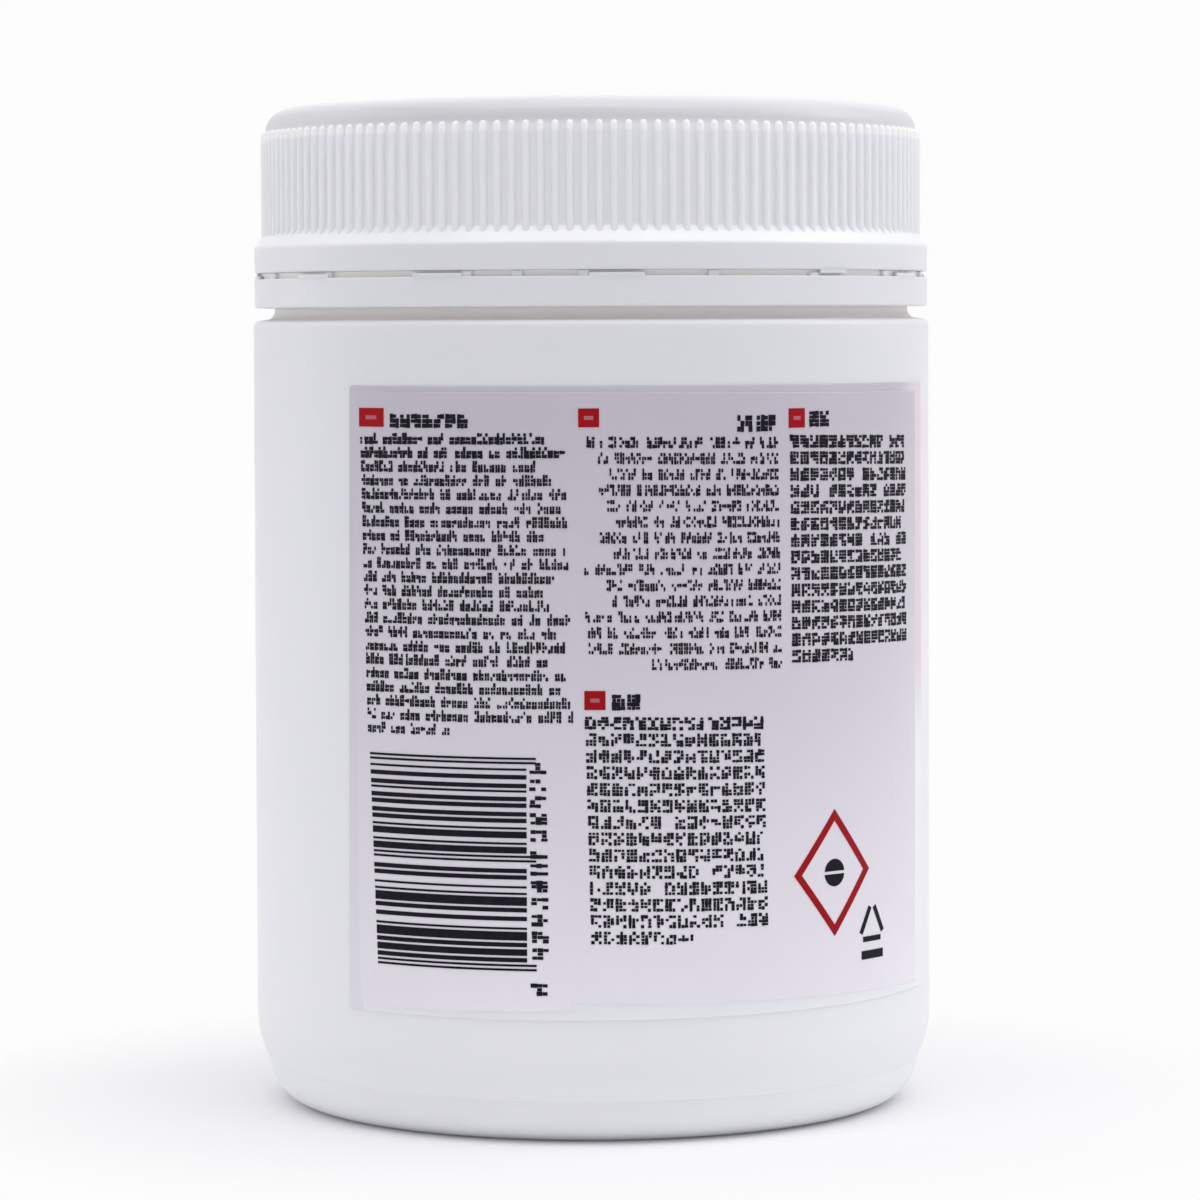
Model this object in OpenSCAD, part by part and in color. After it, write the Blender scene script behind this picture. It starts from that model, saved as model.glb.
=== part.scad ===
// Screw-top jar of cleaning tablets: blow-moulded jar, ribbed cap with liner and tamper band,
// two-layer wrap label with printed fields, and the tablets inside.
// The jar stands on z = 0 with its axis on Z. The label faces -Y.

/* [Jar] */
// Diameter of the jar body at its widest, just above the base
body_d = 82; // [70:0.5:110]
// How much smaller the body radius is at the shoulder
body_draft = 0.15; // [0:0.05:0.6]
// Height of the shoulder edge above the table
shoulder_h = 94.5; // [70:0.5:140]
// Rounding of the shoulder edge
shoulder_r = 0.8; // [0.4:0.1:2]
// Wall thickness of the jar
jar_wall = 1.2; // [0.8:0.1:2]
// Height of the rounded base corner
base_corner_h = 11; // [8:0.5:16]
// Width of the rounded base corner
base_corner_w = 9.5; // [7:0.5:12]
// Height of the mould line above the table
mould_line_h = 5.2; // [3:0.1:7]
// Depth of the step at the mould line
mould_step = 0.23; // [0.1:0.01:0.6]
// Width of the curve below the mould line
foot_curve_w = 5; // [3:0.25:7]
// Width of the flat ring that the jar stands on
foot_ring_w = 1.5; // [1:0.1:4]
// Depth of the hollow under the base
push_up = 2; // [1:0.1:4]
// Thickness of the base
base_t = 1.4; // [1:0.1:3]

/* [Neck] */
// How far the neck root is set in from the body
neck_set_in = 2.7; // [2.4:0.1:4]
// Radius of the hollow curve between shoulder and neck
neck_curve = 1.1; // [0.5:0.1:2]
// Height of the lower edge of the locking bead above the shoulder
bead_rise = 2.8; // [2:0.1:5]
// Thickness of the rim of the locking bead
bead_t = 0.6; // [0.4:0.1:1.2]

/* [Thread] */
// Lift of the cap in one full turn
thread_pitch = 5; // [3:0.25:5.5]
// Turns of thread on the neck and in the cap
thread_turns = 1; // [0.6:0.1:1.1]
// How far the thread on the neck stands out
thread_out = 1.2; // [0.8:0.05:1.3]
// Gap left between the thread crests and the opposite wall
thread_gap = 0.4; // [0.2:0.05:0.6]
// Axial width of a thread ridge at its foot
thread_w = 2; // [1.4:0.1:2.2]

/* [Cap] */
// Overall height of the cap from skirt edge to top
cap_h = 19.8; // [18.5:0.1:30]
// Gap between the cap skirt and the tamper band
skirt_gap = 0.7; // [0.4:0.05:1.2]
// Wall thickness of the cap
cap_wall = 1.4; // [1:0.1:2.2]
// Thickness of the cap top
cap_top_t = 1.7; // [1.2:0.1:3]
// Rounding of the top edge, across
cap_round_w = 3.1; // [1.5:0.1:5]
// Rounding of the top edge, downwards
cap_round_h = 2.9; // [1.5:0.1:4]
// How far the skirt and band are set in from the body radius
skirt_set_in = 0.3; // [0:0.05:1]
// How far the ribbed wall is set in from the skirt
wall_set_in = 1.4; // [0.8:0.1:2.5]
// Height of the plain skirt below the bevel
skirt_h = 3.1; // [2:0.1:6]
// Height of the bevel between skirt and ribbed wall
bevel_h = 2; // [1:0.1:4]
// Number of grip ribs
rib_count = 148; // [24:1:180]
// Width of a grip rib
rib_w = 0.8; // [0.4:0.05:1.2]
// How far a grip rib stands out
rib_out = 0.55; // [0.2:0.05:1]
// Angle of the first rib from the front
rib_phase = 1.46; // [0:0.01:2.4]
// Thickness of the liner disc in the cap
liner_t = 1.2; // [0.8:0.1:2]

/* [Tamper band] */
// Height of the band without its raised tabs
band_h = 3.45; // [2.5:0.05:6]
// Wall thickness of the band
band_t = 1.2; // [0.8:0.1:1.5]
// Height of the locking lip inside the band
hook_h = 1; // [0.6:0.1:1.6]
// Gap between the locking lip and the neck
hook_gap = 0.45; // [0.2:0.05:0.6]
// Gap between the locking bead and the band around it
bead_gap = 0.3; // [0.15:0.05:0.35]
// Angle that a raised tab covers
tab_deg = 9; // [4:0.5:14]
// Height of the raised tabs
tab_h = 0.4; // [0.2:0.05:0.5]
// Angle that a breakable bridge covers
bridge_deg = 1.8; // [1:0.1:3]

/* [Label] */
// Width of the base film along the curve
film_w = 83; // [60:0.5:100]
// Bare margin between the shoulder and the label
label_margin_top = 7.5; // [3:0.1:30]
// Bare margin between the base corner and the label
label_margin_low = 3.8; // [1:0.1:20]
// How far the base film reaches left of the front line
film_left = 30.8; // [20:0.1:40]
// Thickness of the adhesive under the label
glue_t = 0.03; // [0.02:0.01:0.05]
// Thickness of the base film
film_t = 0.1; // [0.06:0.01:0.3]
// Thickness of the leaves on top of it
leaf_t = 0.15; // [0.08:0.01:0.3]
// Margin of base film that shows above the leaves
leaf_top_margin = 0.7; // [0.2:0.1:3]
// Margin of base film that shows left of the leaves
leaf_left_margin = 0.6; // [0.2:0.1:3]
// Margin of base film that shows right of the leaves
leaf_right_margin = 3; // [0.5:0.1:6]
// Width of the left leaf
left_leaf_w = 28.3; // [20:0.1:40]
// Margin below the left leaf
left_leaf_margin = 0.7; // [0.2:0.1:3]
// Margin below the right leaf
right_leaf_margin = 1.5; // [0.2:0.1:4]
// Corner rounding of the left leaf at the top
leaf_corner_top = 0.8; // [0.3:0.1:3]
// Corner rounding of the left leaf at the bottom
leaf_corner_low = 1.7; // [0.3:0.1:4]

/* [Print] */
// Thickness of the printed fields
ink_t = 0.06; // [0.03:0.01:0.1]
// Margin left of the print on the left leaf
print_margin_left = 1.4; // [0.5:0.1:4]
// Margin right of the print on the left leaf
print_margin_mid = 1.7; // [0.5:0.1:4]
// Margin left of the print on the right leaf
print_margin_inner = 0.6; // [0.3:0.1:4]
// Margin right of the print on the right leaf
print_margin_right = 3.2; // [0.5:0.1:6]
// Gap between the two columns on the right leaf
column_gap = 1.8; // [0.8:0.1:4]
// Share of the two columns' width that the first of them takes
column_share = 0.516; // [0.4:0.002:0.6]
// Distance from the top of the leaves down to the middle of the upper red boxes
upper_drop = 2.9; // [2:0.1:8]
// Distance from the top of the leaves down to the middle of the lower red box
lower_drop = 34.9; // [25:0.1:45]
// Distance from the middle of a red box down to the first line below it
first_line_drop = 2.4; // [2.2:0.1:5]
// Line pitch of the left column
left_pitch = 1.59; // [1.3:0.01:2.5]
// Line pitch of the middle column
middle_pitch = 1.81; // [1.3:0.01:2.5]
// Line pitch of the dense columns
dense_pitch = 1.91; // [1.3:0.01:2.5]
// Empty height between a text column and what is printed below it
text_gap = 2; // [1:0.1:6]
// Empty height below the lowest text on the right leaf
text_foot = 6.5; // [1:0.1:12]
// Height of the small lettering bars
bar_h = 1; // [0.5:0.05:1.2]
// Height of the heading bars
heading_h = 1.6; // [1:0.1:2.2]
// Height of the small red boxes
box_h = 2.15; // [1.5:0.05:3]
// Height of the striped block
stripes_h = 24.4; // [15:0.1:30]
// Width of the striped block
stripes_w = 19.6; // [12:0.1:22]
// Margin left of the striped block
stripes_margin_left = 3; // [1:0.1:4]
// Margin below the striped block
stripes_margin_low = 4.9; // [1:0.1:12]
// Width of the diamond frame
diamond_w = 12.3; // [6:0.1:15]
// Height of the diamond frame
diamond_h = 14.8; // [6:0.1:18]
// Distance of the diamond's left corner from the left edge of its column
diamond_inset = 0.25; // [0:0.05:4]
// Margin below the diamond frame
diamond_margin_low = 6.8; // [5.5:0.1:12]
// Line width of the diamond frame
diamond_line = 0.65; // [0.3:0.05:1.2]
// Diameter of the round symbol in the diamond
symbol_d = 4.4; // [2:0.1:5]
// Width of the small triangle mark
triangle_w = 5.3; // [3:0.1:6]
// Line width of the small triangle mark
triangle_line = 0.6; // [0.3:0.05:0.9]

/* [Tablets] */
// Empty height between the topmost tablets and the shoulder
head_space = 13.4; // [6:0.1:40]
// Layers of tablets
tablet_layers = 5; // [1:1:6]
// Tablets side by side in a layer
tablets_in_layer = 3; // [2:1:4]
// Bevel round the edges of a tablet
tablet_bevel = 1.2; // [0.4:0.1:3]
// Gap between neighbouring tablets in a layer
tablet_gap = 0.4; // [0.2:0.1:2]

/* [Hidden] */
$fn = 96;

white_jar = [0.93, 0.93, 0.95];
white_cap = [0.95, 0.95, 0.96];
white_liner = [0.97, 0.97, 0.94];
film_tint = [0.88, 0.86, 0.90];
leaf_tint = [0.86, 0.84, 0.89];
ink_black = [0.10, 0.10, 0.13];
ink_red = [0.74, 0.11, 0.16];
tablet_tint = [0.86, 0.91, 0.96];

sunk = 0.3;
edge_soft = 0.25;
fillet_steps = 6;

body_r = body_d/2;
skirt_r = body_r - skirt_set_in;
wall_r = skirt_r - wall_set_in;
cap_inner_r = wall_r - cap_wall;
finish_r = cap_inner_r - thread_out - thread_gap;
neck_root_r = body_r - neck_set_in;
bead_r = skirt_r - band_t - bead_gap;
bead_z = shoulder_h + bead_rise;
bead_slope_h = 2.3;
hook_rest = 0.3;
band_z = bead_z - hook_rest - hook_h;
band_top = band_z + band_h;
skirt_z = band_top + skirt_gap;
skirt_wall = 1.3;
skirt_ledge = 1;
inner_slope_drop = 0.8;
wall_z = skirt_z + skirt_h + bevel_h;
cap_top = skirt_z + cap_h;
cap_ceiling = cap_top - cap_top_t;
neck_top = cap_ceiling - liner_t;
liner_gap = 0.7;
liner_r = cap_inner_r - liner_gap;

// Points of an elliptical arc from angle a0 to a1
function arc(cx, cz, rx, rz, a0, a1, n) =
    [for (i = [0:n]) let (a = a0 + (a1 - a0)*i/n) [cx + rx*cos(a), cz + rz*sin(a)]];

straight_top = shoulder_h - shoulder_r;

// Outer radius of the body at a height, on its slight draft
function body_at(z) =
    body_r - body_draft*(z - base_corner_h)/(straight_top - base_corner_h);

// Angle round the body for a distance measured along its curve
function deg_of(s) = s/body_r*180/PI;

corner_steps = 8;
mould_angle = asin((base_corner_h - mould_line_h - mould_step)/base_corner_h);
foot_r = body_r - base_corner_w*(1 - cos(mould_angle)) - mould_step - foot_curve_w;
foot_inner_r = foot_r - foot_ring_w;
floor_z = push_up + base_t;
floor_angle = 60;
floor_r = body_r - base_corner_w + (base_corner_w - jar_wall)*cos(floor_angle);
inner_round = 1.5;
inner_round_angle = 60;
ring_slope_w = 0.4;
ring_slope_h = 0.3;
curve_lift = 0.1;
neck_slope_in = 0.2;

function jar_outside() = concat(
    [[0, push_up], [foot_inner_r - 2*push_up, push_up],
     [foot_inner_r - ring_slope_w, ring_slope_h], [foot_inner_r, 0]],
    arc(foot_r, mould_line_h, foot_curve_w, mould_line_h, -90, 0, corner_steps),
    arc(body_r - base_corner_w, base_corner_h, base_corner_w, base_corner_h,
        -mould_angle, 0, corner_steps),
    arc(body_at(straight_top) - shoulder_r, straight_top, shoulder_r, shoulder_r,
        0, 90, fillet_steps),
    arc(neck_root_r + neck_curve, shoulder_h + neck_curve + curve_lift, neck_curve,
        neck_curve, 270, 180, fillet_steps),
    [[neck_root_r, bead_z], [bead_r, bead_z], [bead_r, bead_z + bead_t],
     [finish_r, bead_z + bead_t + bead_slope_h], [finish_r, neck_top - edge_soft],
     [finish_r - edge_soft, neck_top]]);

function jar_inside() = concat(
    [[finish_r - jar_wall, neck_top],
     [finish_r - jar_wall, bead_z + bead_t + bead_slope_h - jar_wall],
     [neck_root_r - jar_wall - neck_slope_in, bead_z],
     [neck_root_r - jar_wall, shoulder_h + jar_wall/2]],
    arc(body_at(straight_top) - jar_wall - inner_round, shoulder_h - jar_wall - inner_round,
        inner_round, inner_round, inner_round_angle, 0, fillet_steps),
    arc(body_r - base_corner_w, base_corner_h, base_corner_w - jar_wall,
        (base_corner_h - floor_z)/sin(floor_angle), 0, -floor_angle, corner_steps),
    [[0, floor_z]]);

// One thread ridge as a ring of four-sided sections along a helix. outward is 1 on the neck
// and -1 in the cap. The ridge rises from nothing and runs out again over its first and last
// eighth of a turn.
thread_steps = 36;
thread_crest_share = 0.45;
thread_run_steps = thread_steps/8;
thread_run_least = 0.08;

module thread_ridge(root_r, outward, start_z) {
    steps = round(thread_steps*thread_turns);
    crest_w = thread_w*thread_crest_share;
    turn_deg = 360/thread_steps;
    sections = [for (i = [0:steps])
        let (turn = i/thread_steps,
             run = min(1, min(i, steps - i)/thread_run_steps + thread_run_least),
             z = start_z + thread_pitch*turn,
             foot = root_r - outward*sunk,
             crest = root_r + outward*thread_out*run)
        [[foot, z - thread_w/2], [crest, z - crest_w/2], [crest, z + crest_w/2],
         [foot, z + thread_w/2]]];
    points = [for (i = [0:steps]) for (p = sections[i])
        [p[0]*cos(turn_deg*i), p[0]*sin(turn_deg*i), p[1]]];
    sides = [for (i = [0:steps - 1]) for (k = [0:3])
        let (a = 4*i + k, b = 4*i + (k + 1)%4)
        outward > 0 ? [b, b + 4, a + 4, a] : [a, a + 4, b + 4, b]];
    first = outward > 0 ? [3, 2, 1, 0] : [0, 1, 2, 3];
    last = [for (k = [3:-1:0]) 4*steps + first[k]];
    triangles = [for (f = sides) each [[f[0], f[1], f[2]], [f[0], f[2], f[3]]]];
    polyhedron(points, concat(triangles, [first], [last]));
}

neck_margin = 3;
thread_start = neck_top - neck_margin - thread_w/2 - thread_pitch*thread_turns;
thread_drop_share = 0.75;
thread_slack = 0.3;
cap_thread_drop = thread_w*thread_drop_share + thread_slack;

module jar() {
    color(white_jar)
    union() {
        rotate_extrude() polygon(concat(jar_outside(), jar_inside()));
        thread_ridge(finish_r, 1, thread_start);
    }
}

// Part of a ring of the given radii and heights, centred on an angle from the front
module ring_piece(at_deg, span_deg, r0, r1, z0, z1) {
    rotate([0, 0, at_deg - span_deg/2 - 90])
    rotate_extrude(angle = span_deg)
    translate([r0, z0]) square([r1 - r0, z1 - z0]);
}

function cap_profile() = concat(
    [[0, cap_top]],
    arc(wall_r - cap_round_w, cap_top - cap_round_h, cap_round_w, cap_round_h, 90, 0, 8),
    [[wall_r, wall_z], [skirt_r, wall_z - bevel_h], [skirt_r, skirt_z + edge_soft],
     [skirt_r - edge_soft, skirt_z], [skirt_r - skirt_wall, skirt_z],
     [skirt_r - skirt_wall, skirt_z + skirt_h - skirt_ledge],
     [cap_inner_r, wall_z - inner_slope_drop],
     [cap_inner_r, cap_ceiling], [0, cap_ceiling]]);

// Section of a rib: shares of its width and height
rib_section = [[-0.5, -sunk], [-0.45, 0.55], [-0.22, 1], [0.22, 1], [0.45, 0.55], [0.5, -sunk]];

// Outline of the ribbed wall: rounded ribs on a circle that lies inside the wall
function rib_outline() = [for (i = [0:rib_count - 1])
    let (mid = 360*i/rib_count + rib_phase - 90)
    for (p = rib_section)
    let (r = wall_r + (p[1] > 0 ? p[1]*rib_out : p[1]),
         a = mid + p[0]*rib_w/wall_r*180/PI)
    [r*cos(a), r*sin(a)]];

rib_foot_share = 0.7;
rib_foot_z = wall_z - bevel_h*rib_foot_share;
rib_head_z = cap_top - cap_round_h;
hang_tab_deg = 6;
hang_tab_at = 43.7;
hang_tab_share = 0.6;
hang_tab_h = skirt_gap*hang_tab_share;
outer_tab_t = 0.5;

module screw_cap() {
    color(white_cap)
    union() {
        rotate_extrude() polygon(cap_profile());
        difference() {
            translate([0, 0, rib_foot_z])
            linear_extrude(rib_head_z - rib_foot_z) polygon(rib_outline());
            cylinder(h = cap_top, r = wall_r - cap_wall/2);
        }
        thread_ridge(cap_inner_r, -1, thread_start - cap_thread_drop);
        ring_piece(hang_tab_at, hang_tab_deg, skirt_r - outer_tab_t, skirt_r - edge_soft/2,
                   skirt_z - hang_tab_h, skirt_z + sunk);
    }
}

module cap_liner() {
    color(white_liner)
    translate([0, 0, neck_top]) cylinder(h = liner_t, r = liner_r);
}

// Angles from the front of the raised tabs, and of the bridges: set-back stubs that fill the
// gap below the cap skirt, one of them broken short
tab_angles = [-25.7, 4.2, 66.9, 97, 127, 157, 187, 217, 247, 277, 307];
bridge_angles = [-87, -68.3, -49, -20.5, -12, -1.2, 20.3, 58.8, 78, 98, 118, 138, 158,
                 178, 198, 218, 238, 258];
stub_angle = 39.5;
bridge_t = 0.55;
bridge_set_in = 0.1;
bridge_r = skirt_r - outer_tab_t - bridge_set_in;

module tamper_band() {
    color(white_cap)
    union() {
        rotate_extrude()
        polygon([[neck_root_r + hook_gap, band_z], [skirt_r - edge_soft, band_z],
                 [skirt_r, band_z + edge_soft], [skirt_r, band_top - edge_soft/2],
                 [skirt_r - edge_soft/2, band_top], [skirt_r - band_t, band_top],
                 [skirt_r - band_t, band_z + hook_h],
                 [neck_root_r + hook_gap, band_z + hook_h]]);
        for (at = tab_angles)
            ring_piece(at, tab_deg, skirt_r - outer_tab_t, skirt_r - edge_soft,
                       band_top - sunk, band_top + tab_h);
        for (at = bridge_angles)
            ring_piece(at, bridge_deg, bridge_r - bridge_t, bridge_r, band_top - sunk, skirt_z);
        ring_piece(stub_angle, bridge_deg, bridge_r - bridge_t, bridge_r,
                   band_top - sunk, band_top + skirt_gap/2);
    }
}

// A patch of a layer on the body: from distance x0 to x1 along the curve, z0 to z1 upwards,
// and off0 to off1 outwards from the body
module patch(x0, x1, z0, z1, off0, off1) {
    rotate([0, 0, deg_of(x0) - 90])
    rotate_extrude(angle = deg_of(x1 - x0))
    polygon([[body_at(z0) + off0, z0], [body_at(z0) + off1, z0],
             [body_at(z1) + off1, z1], [body_at(z1) + off0, z1]]);
}

film_x = -film_left;
film_z = base_corner_h + label_margin_low;
film_top = shoulder_h - label_margin_top;
leaf_x = film_x + leaf_left_margin;
leaf_mid = leaf_x + left_leaf_w;
leaf_right = film_x + film_w - leaf_right_margin;
leaf_top = film_top - leaf_top_margin;
leaf_low = film_z + left_leaf_margin;
right_leaf_low = film_z + right_leaf_margin;
leaf_off = glue_t + film_t;
ink_off = leaf_off + leaf_t;

module label_base() {
    color(film_tint) patch(film_x, film_x + film_w, film_z, film_top, glue_t, leaf_off);
}

// How far a flat outline reaches into the body and out of it, to be sure to cross the label
press = 2;

// What a rounded corner of radius r removes at distance x and height z. sx and sz point
// from the corner into the sheet.
module corner_waste(x, z, r, sx, sz) {
    rotate([0, 0, deg_of(x)])
    translate([0, press - body_r, z])
    rotate([90, 0, 0])
    linear_extrude(2*press)
    difference() {
        translate([sx > 0 ? -1 : -r, sz > 0 ? -1 : -r]) square(r + 1);
        translate([sx*r, sz*r]) circle(r);
    }
}

module label_left_leaf() {
    color(leaf_tint)
    difference() {
        patch(leaf_x, leaf_mid, leaf_low, leaf_top, leaf_off, ink_off);
        corner_waste(leaf_x, leaf_top, leaf_corner_top, 1, -1);
        corner_waste(leaf_x, leaf_low, leaf_corner_low, 1, 1);
    }
}

module label_right_leaf() {
    color(leaf_tint)
    patch(leaf_mid, leaf_right, right_leaf_low, leaf_top, leaf_off, ink_off);
}

// A printed field on the leaves: from x0 to x1 along the curve and from z0 to z1
module ink(x0, x1, z0, z1) {
    patch(x0, x1, z0, z1, ink_off, ink_off + ink_t);
}

// A printed field of height h with its middle at z
module ink_bar(x0, x1, z, h) {
    ink(x0, x1, z - h/2, z + h/2);
}

// A flat outline pressed onto the label, with its middle at x and z, as thick as the print.
// It lies within the given reach of its middle.
module printed_shape(x, z, reach) {
    intersection() {
        ink(x - reach, x + reach, z - reach, z + reach);
        rotate([0, 0, deg_of(x)])
        translate([0, press - body_r, z])
        rotate([90, 0, 0])
        linear_extrude(2*press) children();
    }
}

// Columns of print: one on the left leaf, two on the right leaf
columns_w = leaf_right - print_margin_right - leaf_mid - print_margin_inner - column_gap;
left_x0 = leaf_x + print_margin_left;
left_x1 = leaf_mid - print_margin_mid;
middle_x0 = leaf_mid + print_margin_inner;
middle_x1 = middle_x0 + columns_w*column_share;
right_x0 = middle_x1 + column_gap;
right_x1 = leaf_right - print_margin_right;
lower_shift = 0.5;

stripes_x = leaf_x + stripes_margin_left;
stripes_z = leaf_low + stripes_margin_low;
stripe_count = 26;
guard_out = 1.1;
guard_share = 0.35;
least_stripe_share = 0.3;
stripe_share_step = 0.2;

diamond_x = right_x0 + diamond_inset + diamond_w/2;
diamond_z = right_leaf_low + diamond_margin_low + diamond_h/2;

upper_z = leaf_top - upper_drop;
lower_z = leaf_top - lower_drop;
lower_block_top = lower_z + box_h/2;
right_text_end = max(lower_block_top, diamond_z + diamond_h/2) + text_gap;

// Text blocks: left, right, middle of the red box, line pitch, lowest level, aligned right
text_blocks = [
    [left_x0, left_x1, upper_z, left_pitch, stripes_z + stripes_h + text_gap, false],
    [middle_x0, middle_x1, upper_z, middle_pitch, lower_block_top + text_gap, true],
    [right_x0, right_x1, upper_z, dense_pitch, right_text_end, false],
    [middle_x0 + lower_shift, middle_x1, lower_z, dense_pitch, right_leaf_low + text_foot,
     false]];
// Width of each block's red box and of its heading
box_widths = [3.6, 2.4, 2.4, 2.4];
heading_widths = [10.3, 5.2, 3.1, 3.4];
heading_gap = 0.7;
heading_sink = 0.4;

last_line_share = 0.48;
least_line_share = 0.86;
line_share_swing = 0.07;
word_swing = 0.32;
word_w = 6.5;
least_words = 2;
word_space_share = 0.55;
word_space = bar_h*word_space_share;

// Lines that fit between a block's red box and its lowest level
function line_count(block) =
    1 + floor((block[2] - first_line_drop - bar_h/2 - block[4])/block[3]);

// How much of its full width a text line takes, from 0 to 1, different on every line
function line_share(line, column, lines) =
    line == lines - 1 ? last_line_share
    : least_line_share + line_share_swing*(1 + sin(137*line + 61*column));

// Share of a line at which word w of the given number starts
function word_at(w, words, line) =
    w <= 0 ? 0 : w >= words ? 1 : (w + word_swing*sin(97*w + 53*line))/words;

module text_line(column, line) {
    block = text_blocks[column];
    z = block[2] - first_line_drop - line*block[3];
    full = (block[1] - block[0])*line_share(line, column, line_count(block));
    start = block[5] ? block[1] - full : block[0];
    words = least_words + round(full/word_w);
    for (w = [0:words - 1])
        ink_bar(start + full*word_at(w, words, line),
                start + full*word_at(w + 1, words, line) - (w < words - 1 ? word_space : 0),
                z, bar_h);
}

module print_text() {
    color(ink_black)
    for (column = [0:len(text_blocks) - 1])
        for (line = [0:line_count(text_blocks[column]) - 1]) text_line(column, line);
}

// A heading follows its red box, or ends with the lines where they are aligned right
module print_headings() {
    color(ink_black)
    for (i = [0:len(text_blocks) - 1]) {
        block = text_blocks[i];
        w = heading_widths[i];
        x = block[5] ? block[1] - w : block[0] + box_widths[i] + heading_gap;
        ink_bar(x, x + w, block[2] - heading_sink, heading_h);
    }
}

// Plain stripes of three widths, with longer ones at both ends and in the middle
module print_stripes() {
    step = stripes_h/(stripe_count - 1 + guard_share);
    color(ink_black)
    for (i = [0:stripe_count - 1]) {
        long = i < 2 || i > stripe_count - 3 || abs(i - stripe_count/2 + 0.5) < 1;
        share = long ? guard_share : least_stripe_share + stripe_share_step*((i*i + 2*i)%3);
        ink(stripes_x, stripes_x + stripes_w + (long ? guard_out : 0),
            stripes_z + step*i, stripes_z + step*(i + share));
    }
}

module diamond(w, h) {
    polygon([[-w/2, 0], [0, -h/2], [w/2, 0], [0, h/2]]);
}

reach_spare = 1;

module print_red() {
    inner_w = diamond_w - 2*diamond_line*sqrt(1 + pow(diamond_w/diamond_h, 2));
    color(ink_red) {
        for (i = [0:len(text_blocks) - 1])
            ink_bar(text_blocks[i][0], text_blocks[i][0] + box_widths[i],
                    text_blocks[i][2], box_h);
        printed_shape(diamond_x, diamond_z, max(diamond_w, diamond_h)/2 + reach_spare)
        difference() {
            diamond(diamond_w, diamond_h);
            diamond(inner_w, inner_w*diamond_h/diamond_w);
        }
    }
}

score_share = 0.7;
score_line = 0.45;
stroke_share = 0.62;
stroke_out_share = 0.27;
caption_share = 0.8;
triangle_gap = 0.85;
triangle_x = diamond_x + diamond_w/2 + triangle_gap;
triangle_z = diamond_z - diamond_h/2;
caption_gap = 0.95;
figure_gap = 0.2;
figure_w = 2;
figure_count = 12;
figure_share = 0.6;

// Round scored symbol, three strokes that form a triangle with a bar below them, and plain
// blocks in a row beside the stripes
module print_marks() {
    step = stripes_h/figure_count;
    figure_x = stripes_x + stripes_w + guard_out + figure_gap;
    caption_w = triangle_w*caption_share;
    color(ink_black) {
        printed_shape(diamond_x, diamond_z, symbol_d)
        difference() {
            circle(symbol_d/2);
            square([symbol_d*score_share, score_line], center = true);
        }
        printed_shape(triangle_x, triangle_z, triangle_w)
        for (turn = [0, 120, 240])
            rotate(turn)
            translate([0, -triangle_w*stroke_out_share])
            square([triangle_w*stroke_share, triangle_line], center = true);
        ink_bar(triangle_x - caption_w/2, triangle_x + caption_w/2,
                triangle_z - triangle_w/2 - caption_gap, bar_h);
        for (i = [0:figure_count - 1])
            ink_bar(figure_x, figure_x + figure_w, stripes_z + step*(i + 0.5),
                    step*figure_share);
    }
}

layer_gap = 0.05;
ring_share = 0.5/sin(180/tablets_in_layer);
tablet_d = (floor_r - tablet_gap*ring_share)/(ring_share + 0.5);
tablet_ring_r = (tablet_d + tablet_gap)*ring_share;
tablet_t = (shoulder_h - head_space - floor_z)/tablet_layers - layer_gap;

module tablet() {
    r = tablet_d/2;
    b = tablet_bevel;
    rotate_extrude()
    polygon([[0, 0], [r - b, 0], [r, b], [r, tablet_t - b], [r - b, tablet_t], [0, tablet_t]]);
}

// Layers of tablets on the jar's floor, each layer turned half a step against the last
module tablets() {
    step = 360/tablets_in_layer;
    color(tablet_tint)
    for (layer = [0:tablet_layers - 1])
        for (i = [0:tablets_in_layer - 1])
            rotate([0, 0, step*(i + layer/2)])
            translate([tablet_ring_r, 0, floor_z + layer*(tablet_t + layer_gap)])
            tablet();
}

jar();
screw_cap();
cap_liner();
tamper_band();
label_base();
label_left_leaf();
label_right_leaf();
print_headings();
print_text();
print_stripes();
print_red();
print_marks();
tablets();
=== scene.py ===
# Screw-top jar of cleaning tablets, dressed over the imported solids. Lengths are in millimetres
# until they reach a mesh. The label faces -Y, and angles run from the front towards +X.
import math

import bmesh
import bpy
from mathutils import Matrix, Vector


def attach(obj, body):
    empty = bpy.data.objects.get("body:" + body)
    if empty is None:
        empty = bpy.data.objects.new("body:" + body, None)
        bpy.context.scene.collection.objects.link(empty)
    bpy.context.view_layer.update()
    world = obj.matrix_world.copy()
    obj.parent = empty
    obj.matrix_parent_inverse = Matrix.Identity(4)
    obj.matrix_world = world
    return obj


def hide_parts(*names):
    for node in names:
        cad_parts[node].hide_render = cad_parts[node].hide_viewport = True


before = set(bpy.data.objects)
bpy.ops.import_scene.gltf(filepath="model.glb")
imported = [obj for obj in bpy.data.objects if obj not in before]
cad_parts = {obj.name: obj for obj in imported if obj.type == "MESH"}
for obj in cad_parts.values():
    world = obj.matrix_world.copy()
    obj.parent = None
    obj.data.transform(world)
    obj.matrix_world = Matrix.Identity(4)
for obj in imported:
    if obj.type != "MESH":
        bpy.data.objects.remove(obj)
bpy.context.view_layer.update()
mm = 0.001
print("frame loaded:", len(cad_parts), "nodes")


# Node helpers: a socket is linked, anything else is written on the input. A Wire is a socket
# that takes arithmetic signs, each of which adds a maths node.

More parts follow.
